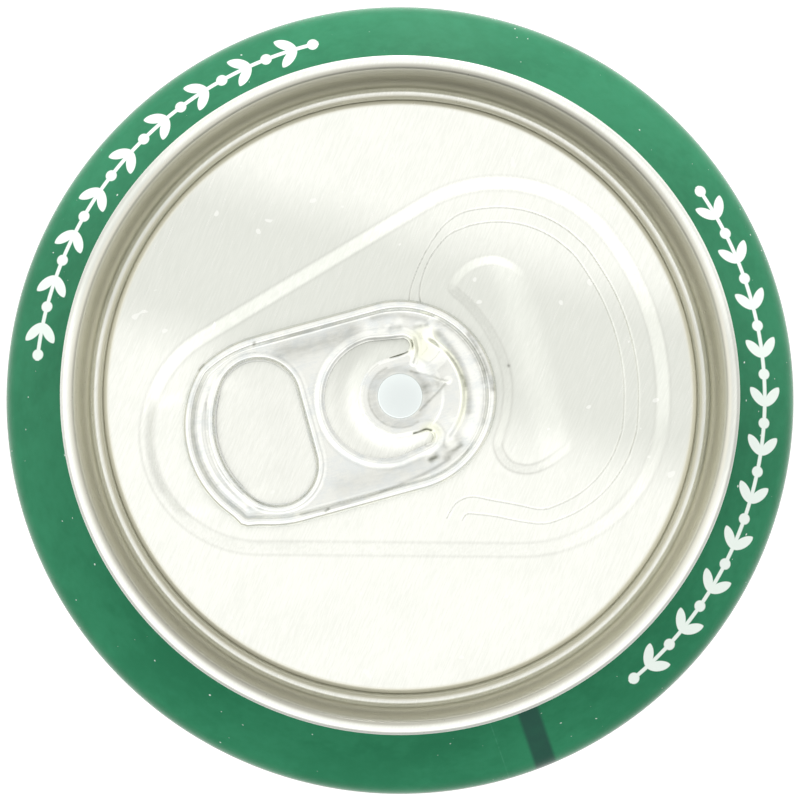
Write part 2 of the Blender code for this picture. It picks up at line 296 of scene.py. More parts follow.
class Wire:
    # a socket that can be used in sums

    def __init__(self, socket):
        self.socket = socket

    def sum(self, operation, *values):
        made = self.socket.id_data.nodes.new("ShaderNodeMath")
        made.operation = operation
        for entry, value in zip(made.inputs, values):
            plug(entry, value)
        return Wire(made.outputs[0])

    def __add__(self, other):
        return self.sum("ADD", self, other)

    def __radd__(self, other):
        return self.sum("ADD", other, self)

    def __sub__(self, other):
        return self.sum("SUBTRACT", self, other)

    def __rsub__(self, other):
        return self.sum("SUBTRACT", other, self)

    def __mul__(self, other):
        return self.sum("MULTIPLY", self, other)

    def __rmul__(self, other):
        return self.sum("MULTIPLY", other, self)

    def __truediv__(self, other):
        return self.sum("DIVIDE", self, other)

    def __pow__(self, other):
        return self.sum("POWER", self, other)

    def __abs__(self):
        return self.sum("ABSOLUTE", self)

    def __or__(self, other):
        # the larger of two masks, so one is laid over the other
        return self.sum("MAXIMUM", self, other)


def plug(entry, value):
    if isinstance(value, Wire):
        entry.id_data.links.new(value.socket, entry)
    else:
        entry.default_value = value


class Nodes:
    # a node tree and the ways to add to it

    def __init__(self, tree):
        self.tree = tree

    def node(self, kind, settings, sockets, output=0):
        made = self.tree.nodes.new(kind)
        for setting, value in settings.items():
            if setting == "stops":
                for _ in value[2:]:
                    made.color_ramp.elements.new(1.0)
                for element, (position, shade) in zip(made.color_ramp.elements, value):
                    element.position = position
                    element.color = shade
            else:
                setattr(made, setting, value)
        for socket, value in sockets.items():
            plug(made.inputs[socket], value)
        return Wire(made.outputs[output])

    def step(self, value, low, high):
        # 0 at low and 1 at high, in either order
        sockets = {"Value": value, "From Min": low, "From Max": high}
        return self.node("ShaderNodeMapRange", {"interpolation_type": "SMOOTHSTEP"}, sockets)

    def band(self, value, middle, half, soft):
        low = self.step(value, middle - half - soft, middle - half + soft)
        return low * self.step(value, middle + half + soft, middle + half - soft)

    def mix(self, share, first, second):
        sockets = {0: share, 6: first, 7: second}
        return self.node("ShaderNodeMix", {"data_type": "RGBA"}, sockets, 2)


class Finish(Nodes):
    # a Principled material, with places in millimetres

    def __init__(self, name, steady):
        self.material = bpy.data.materials.new(name)
        self.material.use_nodes = True
        super().__init__(self.material.node_tree)
        self.shader = self.tree.nodes["Principled BSDF"]
        for socket, value in steady.items():
            self.shader.inputs[socket].default_value = value
        self.where = self.node("ShaderNodeTexCoord", {}, {}, "Object")
        self.x, self.y, self.z = [
            self.node("ShaderNodeSeparateXYZ", {}, {"Vector": self.where}, axis) / mm
            for axis in "XYZ"
        ]
        self.radius = (self.x * self.x + self.y * self.y) ** 0.5

    def feed(self, socket, value):
        plug(self.shader.inputs[socket], value)

    def toward(self, direction):
        # how far a place lies in a level direction
        return self.x * direction.x + self.y * direction.y

    def noise(self, scale, detail=2.0, stretch=None, turn=0.0):
        # scale is in features for each millimetre
        spot = self.where
        if stretch:
            sockets = {"Vector": spot, "Rotation": (0, 0, math.radians(turn)), "Scale": stretch}
            spot = self.node("ShaderNodeMapping", {"vector_type": "TEXTURE"}, sockets)
        sockets = {"Vector": spot, "Scale": scale / mm, "Detail": detail}
        return self.node("ShaderNodeTexNoise", {}, sockets, "Fac")

    def marks(self):
        return self.node("ShaderNodeAttribute", {"attribute_name": "marks"}, {}, "Fac")

    def bump(self, height, distance, strength):
        # height from 0 to 1 stands for distance, in millimetres
        sockets = {"Height": height, "Distance": distance * mm, "Strength": strength}
        self.feed("Normal", self.node("ShaderNodeBump", {}, sockets, "Normal"))


def colour(red, green, blue):
    return (red, green, blue, 1.0)


# Can body

bodyShape = {
    "steps": 256,
    "seamHeight": 2.5,
    "neckRadius": 27.55,
    "neckAngle": 36,  # of the cone, from the vertical
    "neckCurve": 3.5,
    "neckStraight": 1.9,
    "shoulderCurve": 4.5,
    "hookTop": 1.75,  # of the wall's edge inside the seam, below the rim
    "hookInner": 27.0,
    "hookCurve": 0.1,
    "cupRadius": 26.4,
    "cupDepth": 8.1,
    "taperHeight": 9.0,
    "taperCurve": 7.0,
    "standOuter": 26.2,
    "standFlare": 0.35,
    "standHeight": 2.6,
    "standInner": 23.2,
    "standCurve": 1.1,
    "domeRadius": 46.0,
    "domeDepth": 10.2,
    "domeEdge": 21.9,
    "domeFoot": (0.25, 1.2, 0.8),  # how far outside the dome, how high, and its curve
    "domeRings": 16,
}


def bodyOutline(shape):
    neck = shape["neckRadius"]
    coneTop = rim - shape["seamHeight"] - shape["neckStraight"]
    coneBottom = coneTop - (wallRadius - neck) / math.tan(math.radians(shape["neckAngle"]))
    standTop = (shape["standOuter"] + shape["standFlare"], shape["standHeight"])
    footOut, footHeight, footCurve = shape["domeFoot"]
    corners = [
        (0, rim - shape["cupDepth"], 0),
        (shape["cupRadius"], rim - shape["cupDepth"], 0),
        (shape["hookInner"], rim - shape["hookTop"], shape["hookCurve"]),
        (neck, rim - shape["hookTop"], shape["hookCurve"]),
        (neck, coneTop, shape["neckCurve"]),
        (wallRadius, coneBottom, shape["shoulderCurve"]),
        (wallRadius, shape["taperHeight"], shape["taperCurve"]),
        (*standTop, 2 * shape["standCurve"]),
        (shape["standOuter"], 0, shape["standCurve"]),
        (shape["standInner"], 0, shape["standCurve"]),
        (shape["domeEdge"] + footOut, footHeight, footCurve),
    ]
    centre = shape["domeDepth"] - shape["domeRadius"]
    for r in np.linspace(shape["domeEdge"], 0, shape["domeRings"]):
        corners.append((r, centre + math.sqrt(shape["domeRadius"] ** 2 - r**2), 0))
    return rounded(corners, 6)


lacquer = {
    "paleGreen": colour(0.024, 0.226, 0.108),
    # darker green of the clouds, and of the painted shadow next to the seam
    "deepGreen": colour(0.007, 0.150, 0.064),
    "overlapGreen": colour(0.012, 0.068, 0.050),
    "lineGreen": colour(0.060, 0.290, 0.160),
    "seamShadeReach": (28.4, 33.4),  # painted shadow: the green is deeper next to the seam and pales outwards over the shoulder, between these radii
    "cloudScale": 0.09,  # features for each millimetre, as in the next four
    "patchScale": 0.6,
    "grainScale": 1.6,
    "drawnScale": 4.0,
    "speckScale": 2.6,
    "speckFrom": (0.855, 0.88),  # of that noise, where the white specks begin and are full
    "speckShare": 0.8,
    "white": colour(0.84, 0.92, 0.88),
    "metal": colour(0.86, 0.86, 0.83),
    "roughness": 0.24,
    "bareRoughness": 0.34,
    "bump": 0.004,  # how high the grain stands
    "printEdge": 8.6,  # height where the print stops above the base
    "bareInside": 24.0,  # radius within which the base and the cup are bare
    "overlapAngle": -83.5,
    "overlapSlant": -0.07,  # degrees for each millimetre outwards
    "overlapHalf": 0.90,
    "overlapSoft": 0.22,
    "overlapLine": (-3.3, 0.03, 0.06),  # the thin line beside the overlap: place, half and soft edge
    "lineShare": 0.6,
    "garlandRadius": 30.5,
    "garlandStep": 4.1,
    "garlands": [(12, 20), (-8, 2)],  # first and last cell, counted round the axis
    "garlandSpare": 0.93,  # degrees past the last cell
    "garlandFoot": 90.5,  # height on the can below which there is none
    "leafPlace": (0.15, 0.62),  # along the stem and beside it
    "leafHalf": (1.0, 0.42),
    "leafLean": 38,
    "dotRadius": 0.47,
    "stemHalf": 0.16,
}


def garland(paint, look):
    # leaves in pairs along a thin stem, with a dot between the pairs
    angle = paint.x.sum("ARCTAN2", paint.y, paint.x) * math.degrees(1)
    across = paint.radius - look["garlandRadius"]
    arcLength = math.radians(look["garlandRadius"])
    halfStep = look["garlandStep"] / 2
    cell = angle.sum("WRAP", angle * arcLength, halfStep, -halfStep)
    side = abs(across)
    lean = math.radians(look["leafLean"])
    leafAlong, leafAside = look["leafPlace"]
    leafX = (cell - leafAlong) * math.cos(lean) + (side - leafAside) * math.sin(lean)
    leafY = (side - leafAside) * math.cos(lean) - (cell - leafAlong) * math.sin(lean)
    halfX, halfY = look["leafHalf"]
    leaf = (leafX / halfX) ** 2.0 + (abs(leafY) / halfY) ** 1.5
    leaves = paint.step(leaf, 1.12, 0.9)
    dotX = abs(cell) - halfStep
    dotAway = (dotX * dotX + across * across) ** 0.5
    dot = paint.step(dotAway, look["dotRadius"] + 0.05, look["dotRadius"] - 0.05)
    stem = paint.step(side, look["stemHalf"] + 0.04, look["stemHalf"] - 0.04)
    reach = 0
    cellTurn = look["garlandStep"] / arcLength
    for first, last in look["garlands"]:
        half = (last - first + 1) / 2 * cellTurn + look["garlandSpare"]
        reach = reach + paint.band(angle, (first + last) / 2 * cellTurn, half, 0.05)
    above = paint.step(paint.z, look["garlandFoot"] - 0.5, look["garlandFoot"] + 0.5)
    return (leaves | dot | stem) * reach * above, angle


def makeLacquer(look):
    paint = Finish("greenLacquer", {"IOR": 1.3, "Specular IOR Level": 0.32})
    leaves, angle = garland(paint, look)
    cloud = paint.noise(look["cloudScale"], 3.0)
    patch = paint.noise(look["patchScale"])
    grain = paint.noise(look["grainScale"], 3.0)
    tone = paint.step(cloud * 0.5 + patch * 0.3 + grain * 0.2, 0.36, 0.64)
    # painted shadow under the seam: the green is mixed deeper near the seam and paler outwards
    outwards = paint.step(paint.radius, *look["seamShadeReach"])
    green = paint.mix(0.06 + 0.5 * tone + 0.44 * outwards, look["deepGreen"], look["paleGreen"])
    lead = angle - look["overlapAngle"] - (paint.radius - wallRadius) * look["overlapSlant"]
    aside = lead * paint.radius * math.radians(1)
    stripe = paint.band(aside, 0, look["overlapHalf"], look["overlapSoft"])
    stripe = stripe * (0.8 + 0.2 * paint.noise(0.8))
    green = paint.mix(stripe, green, look["overlapGreen"])
    line = paint.band(aside, *look["overlapLine"]) * paint.step(grain, 0.3, 0.6)
    green = paint.mix(line * look["lineShare"], green, look["lineGreen"])
    specks = paint.step(paint.noise(look["speckScale"], 0.0), *look["speckFrom"])
    printed = paint.mix(leaves | specks * look["speckShare"], green, look["white"])
    below = paint.step(paint.z, look["printEdge"] + 0.06, look["printEdge"] - 0.06)
    bare = below | paint.step(paint.radius, look["bareInside"], look["bareInside"] - 0.1)
    paint.feed("Base Color", paint.mix(bare, printed, look["metal"]))
    paint.feed("Metallic", bare)
    drawn = paint.noise(look["drawnScale"], 3.0, (1, 1, 0.02))
    duller = bare * (look["bareRoughness"] - look["roughness"])
    paint.feed("Roughness", look["roughness"] + duller + (drawn - 0.5) * 0.10)
    paint.bump(grain * 0.6 + bare * drawn * 1.5, look["bump"], 0.5)
    return paint.material


canBody = turnOutline("canBody", bodyOutline(bodyShape), bodyShape["steps"])
finished(canBody, makeLacquer(lacquer), "can_body", 40)
print("body done")


# Can end

endShape = {
    "steps": 384,
    "seamInner": 27.08,
    "seamHeight": 2.5,
    "seamCurve": 0.54,
    "seamFootCurve": 0.24,
    "hookInner": 26.92,
    "hookOuter": 27.62,
    "hookTop": 1.6,
    "hookCurve": 0.2,
    "grooveOuter": 25.8,
    "grooveInner": 24.8,
    "grooveDepth": 6.6,
    "grooveCurve": 0.47,
    "panelCurve": 0.55,
    "panelEdge": 23.9,  # where the panel's grid meets the turned ring
    "plugTop": 26.87,
    "plugBottom": 26.2,
    "plugDepth": 7.5,
    "dome": 0.12,
    "finerWithin": (1.1, 0.5, 0.15),  # of the relief's edges, where the grid is cut finer
}

panelShape = {
    "recessDepth": 0.45,
    "recessSlope": 1.15,
    "pourRadius": 22.5,
    "pourCorner": (9.5, 3.7),
    "fingerCentre": -12.1,
    "fingerRadius": 10.0,
    "hollowDepth": 0.40,
    "hollowSlope": 0.75,
    "hollowFade": (9.5, 13.4),
    "hollow": [(6.2, 7.5), (6.6, 6.7), (7.1, 6.0), (8.05, 3.9), (8.6, 1.7), (8.7, 0.1), (8.55, -1.4),
               (7.9, -3.3), (7.1, -4.7), (6.5, -5.7), (6.4, -6.6), (6.7, -7.7), (7.4, -8.5), (8.7, -9.05),
               (10.2, -9.0), (11.7, -8.5), (12.9, -7.8), (14.5, -5.0), (15.0, 0.0), (14.2, 5.5),
               (12.5, 7.9), (11.7, 8.7), (10.6, 9.3), (9.1, 9.45), (7.7, 9.05), (6.5, 8.2)],
    "wellDepth": 0.18,
    "wellHalf": 5.3,
    "wellSlope": 1.1,
    "wellFade": (-16, -10),
    "scores": [  # the cut line of the pour opening and the crease inside it: inset and both ends
        (2.6, [(2.6, 6.6), (3.2, 8.4), (4.9, 10.7), (7.0, 12.6)],
         [(7.0, -12.7), (5.0, -11.7), (3.5, -11.1), (2.8, -10.9), (2.3, -11.3)]),
        (3.8, [(3.6, 6.2), (3.9, 8.1), (5.2, 10.2), (7.2, 11.8)],
         [(7.1, -11.3), (5.0, -10.3), (3.8, -9.7), (2.9, -9.6), (2.0, -9.9), (1.1, -10.8)]),
    ],
    "scoreTurn": 94,  # how far each score follows the corners of the pour side
    "scoreDepth": 0.07,
    "scoreHalf": 0.10,
    "coinRadius": 4.35,  # the raised ring of panel round the rivet
    "coinHeight": 0.22,
    "coinSlope": 0.9,
    "bendHalf": 0.11,  # of the thin line of painted shade where the sheet bends
    "bendShade": 0.20,
    "cutHalf": 0.075,
    "cutShade": 0.30,
    "cutFaint": 0.7,  # how much of the score's mark is lost on the pour side
    "slopeShade": 0.12,  # painted shade on the recess's slope, on its pour side
    "slotShade": (5.2, 0.75, 0.14),  # under the tab's slot: radius, width, and how dark
    "holeShade": (-11.9, 4.2, 6.2, 0.10),  # under its finger hole: middle, reach, and how dark
    "endShade": (9.4, 148, 194, 0.4, 0.14),  # round its finger end: radius, from, to, width, how dark
    "speck": (9.4, 0.1, 0.12, 0.7),  # a dark fleck: its place, width and how dark
}

rivetShape = {
    "shaft": 1.7,
    "head": 1.89,
    "headCurve": 0.13,
    "neckCurve": 0.05,
    "neckTop": 0.43,  # below the top of the tab
    "headTop": 0.05,
    "crown": 0.03,
    "crownRadius": 0.4,
}


def endOutline(shape):
    seamFoot = rim - shape["seamHeight"]
    hookTop = rim - shape["hookTop"]
    corners = [
        (shape["panelEdge"], panel, 0),
        (shape["grooveInner"], panel, shape["panelCurve"]),
        (shape["grooveInner"], rim - shape["grooveDepth"], shape["grooveCurve"]),
        (shape["grooveOuter"], rim - shape["grooveDepth"], shape["grooveCurve"]),
        (shape["seamInner"], rim, shape["seamCurve"]),
        (seamOuter, rim, shape["seamCurve"]),
        (seamOuter, seamFoot, shape["seamFootCurve"]),
        (shape["hookOuter"], seamFoot, shape["hookCurve"]),
        (shape["hookOuter"], hookTop, 0),
        (shape["hookInner"], hookTop, 0),
        (shape["plugTop"], seamFoot, 0),
        (shape["plugBottom"], rim - shape["plugDepth"], 0),
        (0, rim - shape["plugDepth"], 0),
    ]
    return rounded(corners, 8)


def recessOutline(shape):
    # the large teardrop: pour side, two corners, two straight sides and the finger end
    cornerX, cornerY = shape["pourCorner"]
    cornerRadius = shape["pourRadius"] - math.hypot(cornerX, cornerY)
    turn = math.degrees(math.atan2(cornerY, cornerX))
    run = cornerX - shape["fingerCentre"]
    growth = cornerRadius - shape["fingerRadius"]
    slope = math.atan2(cornerY, run) + math.asin(growth / math.hypot(run, cornerY))
    side = 90 + math.degrees(slope)
    return closed(
        arc((0, 0), shape["pourRadius"], -turn, turn)
        + arc((cornerX, cornerY), cornerRadius, turn, side)
        + arc((shape["fingerCentre"], 0), shape["fingerRadius"], side, 360 - side)
        + arc((cornerX, -cornerY), cornerRadius, 360 - side, 360 - turn)
    )


def scoreLines(shape):
    cornerX, cornerY = shape["pourCorner"]
    toCorner = math.degrees(math.atan2(cornerY, cornerX))
    far = shape["scoreTurn"]
    lines = []
    for inset, start, end in shape["scores"]:
        radius = shape["pourRadius"] - inset
        corner = radius - math.hypot(cornerX, cornerY)
        side = arc((cornerX, cornerY), corner, far, toCorner, 12)
        side += arc((0, 0), radius, toCorner, -toCorner, 12)[1:-1]
        side += arc((cornerX, -cornerY), corner, -toCorner, -far, 12)
        lines.append(smoothLine(start + side + end))
    return lines


def panelGaps(points, lines):
    # depth in the recess and in the hollow, and the way to each score
    recess, hollow, scores = lines
    return depthIn(points, recess), depthIn(points, hollow), [gapTo(points, score) for score in scores]


def hollowFade(x, shape):
    # the hollow runs out towards the pour side
    return 1 - swell(x, *shape["hollowFade"])


def panelHeight(points, shape, gaps):
    # the pressed relief over the panel's flat level
    inRecess, inHollow, fromScores = gaps
    x, y = points.T
    far = np.hypot(x, y)
    height = endShape["dome"] * (1 - (far / endShape["panelEdge"]) ** 2)
    height -= shape["recessDepth"] * ramp(inRecess, 0, shape["recessSlope"])
    sunk = ramp(inHollow, 0, shape["hollowSlope"], 0.15)
    height -= shape["hollowDepth"] * hollowFade(x, shape) * sunk
    well = ramp(shape["wellHalf"] - abs(y), 0, shape["wellSlope"], 0.3)
    well *= ramp(inRecess, 0.45, shape["recessSlope"]) * (1 - swell(x, *shape["wellFade"]))
    height -= shape["wellDepth"] * well
    height += shape["coinHeight"] * ramp(shape["coinRadius"] - far, 0, shape["coinSlope"])
    for near in fromScores:
        height -= shape["scoreDepth"] * np.clip(1 - near / shape["scoreHalf"], 0, 1)
    return height


def panelMarks(points, shape, gaps):
    # painted shade: thin lines where the sheet bends, darker ones in the scores, soft shade under and
    # round the tab, and a dark fleck
    inRecess, inHollow, fromScores = gaps
    x, y = points.T
    half, slope = shape["bendHalf"], shape["recessSlope"]
    bends = hump(inRecess, 0, half) + hump(inRecess, slope, half)
    hollowBends = hump(inHollow, 0, half) + hump(inHollow, shape["hollowSlope"], half)
    bends += hollowFade(x, shape) * hollowBends * (1.5 - 0.6 * swell(y, -3, 6))
    marks = shape["bendShade"] * bends
    onSlope = swell(inRecess, 0, 0.2) * (1 - swell(inRecess, slope - 0.2, slope))
    pourSide = swell(x, 0, 9) * (swell(y, -8, 2) + hump(y, -9.5, 2.5))
    marks += shape["slopeShade"] * onSlope * pourSide
    # painted shade in the scores' grooves, fainter on the pour side
    faint = 1 - shape["cutFaint"] * swell(x, 13, 16) * hump(y, -2, 5)
    for near in fromScores:
        marks += shape["cutShade"] * hump(near, 0, shape["cutHalf"]) * faint
    radius, width, dark = shape["slotShade"]
    marks += dark * hump(np.hypot(x, y), radius, width)
    middle, reachX, reachY, dark = shape["holeShade"]
    marks += dark * (1 - swell(np.hypot((x - middle) / reachX, y / reachY), 0.5, 1.3))
    radius, start, end, width, dark = shape["endShade"]
    marks += dark * hump(gapTo(points, arc((shape["fingerCentre"], 0), radius, start, end)), 0, width)
    speckX, speckY, width, dark = shape["speck"]
    return marks + dark * hump(np.hypot(x - speckX, y - speckY), 0, width)


def reliefGap(gaps, far, shape):
    # how far each point is from the nearest edge of the relief
    inRecess, inHollow, fromScores = gaps
    edges = [inRecess, inRecess - shape["recessSlope"], inHollow, inHollow - shape["hollowSlope"]]
    edges.append(far - rivetShape["shaft"])
    return np.min([abs(edge) + 0.2 for edge in edges] + fromScores, axis=0)


def onPanel(points):
    # which points lie on the panel's top, and how far out they are
    far = np.hypot(points[:, 0], points[:, 1])
    return (points[:, 2] > panel - 1.0) & (far < endShape["panelEdge"] + 0.01), far


def makeEnd():
    end = turnOutline("canEnd", endOutline(endShape), endShape["steps"])
    pickOpen(end)
    bpy.ops.mesh.fill_grid(span=endShape["steps"] // 4, use_interp_simple=True)
    doneEditing()
    hollow = smoothLine(closed(panelShape["hollow"]))
    lines = recessOutline(panelShape), hollow, scoreLines(panelShape)
    for reach in endShape["finerWithin"]:
        middles = faceMiddles(end)
        near, far = onPanel(middles)
        gaps = panelGaps(middles[near, :2], lines)
        near[near] = reliefGap(gaps, far[near], panelShape) < reach
        finer(end, near)
    cutForRivet(end)
    points = places(end)
    top = onPanel(points)[0]
    gaps = panelGaps(points[top, :2], lines)
    points[top, 2] += panelHeight(points[top, :2], panelShape, gaps)
    setPlaces(end, points)
    marks = np.zeros(len(points))
    marks[top] = panelMarks(points[top, :2], panelShape, gaps)
    keepMarks(end, marks)
    growRivet(end)
    return end


def cutForRivet(end):
    # opens the panel where the rivet rises from it
    middles = faceMiddles(end)
    away = np.hypot(*middles[:, :2].T)
    pickFaces(end, (away < rivetShape["shaft"]) & (middles[:, 2] > panel - 0.01))
    bpy.ops.mesh.delete(type="FACE")
    doneEditing()
    points = places(end)
    edge = openVerts(end)
    away = np.hypot(*points[edge, :2].T)
    points[edge, :2] *= (rivetShape["shaft"] / away)[:, None]
    setPlaces(end, points)


def growRivet(end):
    # draws the edge of the opening up and out into the rivet, and closes its top
    shape = rivetShape
    neck = tabTop - shape["neckTop"]
    top = tabTop - shape["headTop"]
    shaft, head = shape["shaft"], shape["head"]
    outline = rounded([
        (shaft, places(end)[openVerts(end), 2].mean(), 0),
        (shaft, neck, shape["neckCurve"]),
        (head, neck, shape["neckCurve"]),
        (head, top, shape["headCurve"]),
        (shape["crownRadius"], top + shape["crown"], 0),
    ], 15)
    pickOpen(end)
    for (r0, z0), (r1, z1) in zip(outline, outline[1:]):
        step = (0, 0, (z1 - z0) * mm)
        bpy.ops.mesh.extrude_region_move(TRANSFORM_OT_translate={"value": step})
        bpy.ops.transform.resize(value=(r1 / r0, r1 / r0, 1), center_override=(0, 0, z1 * mm))
    bpy.ops.mesh.merge(type="CENTER")
    doneEditing()


aluminium = {
    "colour": colour(0.955, 0.96, 0.916),
    # darker metal, for the grain's tone and for the painted shade band
    "darkerTone": colour(0.695, 0.71, 0.667),
    "speck": colour(0.98, 0.98, 0.96),
    "roughness": 0.30,
    "rivetPolish": 0.12,  # how much smoother the rivet is
    "bump": 0.006,
    "grainTurn": 52,
    "streakScale": 7.0,  # features for each millimetre, as in the next three
    "fineScale": 16.0,
    "cloudScale": 0.25,
    "speckScale": 1.1,
    "speckFrom": (0.82, 0.84),  # of that noise, where the bright specks begin and are full
    "speckShare": 0.5,
    "shadeBandLine": 6.9,  # how far up the photo the band of painted shade lies
    "shadeBandSlant": 0.27,  # how fast it falls to the right
    "shadeBandHalf": 7.0,
    "shadeBandSoft": 3.2,
    # warm tint of the painted shade in the walls
    "wallShadeTint": colour(1.0, 0.985, 0.87),
    "wallShadeBands": [  # painted shade bands round the wall: depth below the rim, half, soft edge, and how dark
        (0.75, 0.45, 0.3, 0.10),
        (3.9, 0.9, 0.9, 0.16),
        (6.1, 0.15, 0.25, 0.10),
    ],
    "paintedWallShade": (0.80, 0.09, 0.13),  # painted shade: overall, change round the can, and loss towards the photo's top
    "wallLines": (2.2, 0.16),  # fine rings: features for each millimetre of depth, and how strong
    "shoulderShade": 0.24,  # painted shade: how much darker the seam's inner shoulder is
    # painted shade on the panel's wall inside the groove
    "panelWallShade": 0.32,
    # dark colour of the marks: stains, and painted shade
    "stainAndShade": colour(0.16, 0.16, 0.14),
    "rivetColour": colour(0.80, 0.85, 0.855),
    "rivetReach": 3.5,
}


def paintedWallShade(paint, photoUp, look):
    # painted shade: how bright the wall from the seam to the groove is painted, down its height and round
    # the can
    depth = rim - paint.z
    turn = math.radians(look["grainTurn"])
    across = paint.toward(Vector((math.sin(turn), -math.cos(turn))))
    along = paint.toward(Vector((math.cos(turn), math.sin(turn))))
    # painted shade that changes round the can
    roundShade = (across * across - along * along) / (paint.radius * paint.radius)
    level, change, loss = look["paintedWallShade"]
    tone = level + change * roundShade - loss * paint.step(photoUp / paint.radius, 0.1, 1.0)
    shoulder = endShape["seamInner"]
    tone = tone - look["shoulderShade"] * paint.step(paint.radius, shoulder - 0.13, shoulder + 0.02)
    for middle, half, soft, dark in look["wallShadeBands"]:
        tone = tone - dark * paint.band(depth, middle, half, soft)
    scale, strength = look["wallLines"]
    sockets = {"W": depth, "Scale": scale}
    lines = paint.node("ShaderNodeTexNoise", {"noise_dimensions": "1D"}, sockets, "Fac")
    return tone + (lines - 0.5) * strength


def makeAluminium(look):
    paint = Finish("endAluminium", {"Metallic": 1.0})
    streaks = paint.noise(look["streakScale"], 4.0, (12, 1, 1), look["grainTurn"])
    fine = paint.noise(look["fineScale"], 2.0, (10, 1, 1), look["grainTurn"] + 3)
    cloud = paint.noise(look["cloudScale"], 3.0)
    tone = paint.step(streaks * 0.5 + fine * 0.3 + cloud * 0.2, 0.35, 0.65)
    metal = paint.mix(0.4 * tone, look["colour"], look["darkerTone"])
    # painted shade: a slanting band across the end, mixed darker and streaked with the grain
    right, up = [paint.toward(axis) for axis in photoAxes()]
    slanted = up + right * look["shadeBandSlant"]
    darkerTone = paint.band(slanted, look["shadeBandLine"], look["shadeBandHalf"], look["shadeBandSoft"])
    metal = paint.mix(darkerTone * (0.55 + 0.6 * streaks), metal, look["darkerTone"])
    specks = paint.step(paint.noise(look["speckScale"], 0.0), *look["speckFrom"])
    metal = paint.mix(specks * look["speckShare"], metal, look["speck"])
    groove, hook = endShape["grooveOuter"], endShape["hookOuter"]
    wall = paint.step(paint.radius, groove - 0.05, groove + 0.15)
    wall = wall * paint.step(paint.radius, hook, hook - 0.32)
    # painted shade on the panel's wall
    panelWall = paint.band(paint.radius, endShape["grooveInner"], 0.5, 0.16)
    # painted shade darkens the wall from the groove to the seam, and the panel's wall
    shade = (1 - wall) + wall * paintedWallShade(paint, up, look)
    shade = shade * (1 - look["panelWallShade"] * panelWall)
    # the walls take the warm tint of their painted shade
    metal = paint.mix(wall | panelWall, metal, look["wallShadeTint"])
    metal = paint.mix(shade, colour(0, 0, 0), metal)
    high = paint.step(paint.z, panel + 0.35, panel + 0.45)
    high = high * paint.step(paint.radius, look["rivetReach"] + 0.1, look["rivetReach"] - 0.1)
    metal = paint.mix(high, metal, look["rivetColour"])
    # stains and painted shade from the marks
    metal = paint.mix(paint.marks(), metal, look["stainAndShade"])
    paint.feed("Base Color", metal)
    smoother = high * look["rivetPolish"]
    paint.feed("Roughness", look["roughness"] - smoother + (streaks - 0.5) * 0.14)
    paint.bump(streaks * 0.6 + fine * 0.4, look["bump"], 0.5)
    return paint.material


canEnd = makeEnd()
finished(canEnd, makeAluminium(aluminium), "can_end", 35)
print("end done")


# Tab

tabShape = {
    "cell": 0.1,
    "finerWithin": 0.35,  # of an edge, where the cells are halved
    "trim": 0.012,  # how far from an edge the middle of a kept cell lies at least
    "cornerStart": -10.5,
    "cornerRadius": 10.0,
    "cornerEnd": -15.5,
    "fingerCentre": -9.2,
    "fingerRadius": 9.2,
    "holeCentre": -7.8,
    "holeRadius": 7.8,
    "holeCorner": 3.2,
    "holeRight": -8.2,
    "slotCentre": (-1.35, 0.15),
    "slotRadius": 4.95,
    "slotEnd": 1.3,
    "slotArms": (0.62, 0.50),  # how round the upper and the lower arm end
    "islandRadius": 3.4,
    "rivetHole": 1.75,
    "bentCorner": ((-15.1, -6.8), 0.8, 0.32),  # where a corner is bent out, how far along, and how much
    "web": 0.40,  # below the crown of the rolled rim, as in the next two
    "island": 0.45,
    "pocket": 0.52,
    "pocketRadius": 5.5,
    "fingerEnd": (-16, -13),  # the rim's beads fade out from one to the other
    "rimBeads": [(1.60, 0.26, 0.09), (1.10, 0.24, -0.06)],  # from the edge: how far, width and height
    "holeBead": (0.46, 0.28, 0.25),
    "slotBead": (0.42, 0.26, 0.12),
    "noseSpan": (-4, 48, 60),  # its middle, and where it begins to fade and ends, to both sides
    "noseRise": 0.20,
    "edgeDrop": (0.10, 0.05),  # at every hole, and how much more away from the rivet
    "beakDepth": 0.10,
    "beak": [(1.4, 1.75), (2.71, 1.04), (4.07, 0.15), (3.17, -0.49), (1.29, -1.57)],
    "facetRise": (0.9, 0.18),  # to each side of its line, and how high
    "facet": [(4.02, 4.56), (4.25, 2.82), (3.79, 2.42), (2.77, 1.91)],
    "armRise": (0.28, 0.14),
    "armRidge": [(2.34, 4.22), (2.31, 3.44), (2.02, 2.73), (1.79, 2.35)],
    "folds": [  # small dents and folds left by the press: place, size and height
        ((4.2, 0.2), 0.22, 0.10),
        ((2.6, -5.0), 0.70, -0.10),
        ((1.2, -5.7), 0.35, -0.12),
        ((-0.8, 5.9), 0.55, 0.08),
        ((4.3, 5.0), 0.40, 0.14),
        ((3.6, -3.6), 0.80, 0.08),
        ((1.2, 6.3), 0.60, -0.08),
        ((-6.0, 6.0), 1.10, -0.06),
        ((-4.5, -6.0), 1.30, -0.05),
        ((0.7, 5.6), 0.30, -0.10),
        ((3.2, 5.2), 0.35, -0.10),
        ((1.5, -4.2), 0.35, 0.10),
    ],
    "underSteps": 5,  # rings of faces from each edge down to the flat underside
    "underReach": 0.8,  # how far they turn in, as a share of half the height
    "rimShadeLines": [(0, 0.09, 0.18), (0.95, 0.15, 0.05)],  # painted shadow line at the edge and painted shade line inside it: how far in, width and how dark
    # painted shadow and shade lines round the holes: how far from the edge, width and how dark
    "holeShadeLines": [(0, 0.08, 0.10), (0.95, 0.12, 0.08)],
}


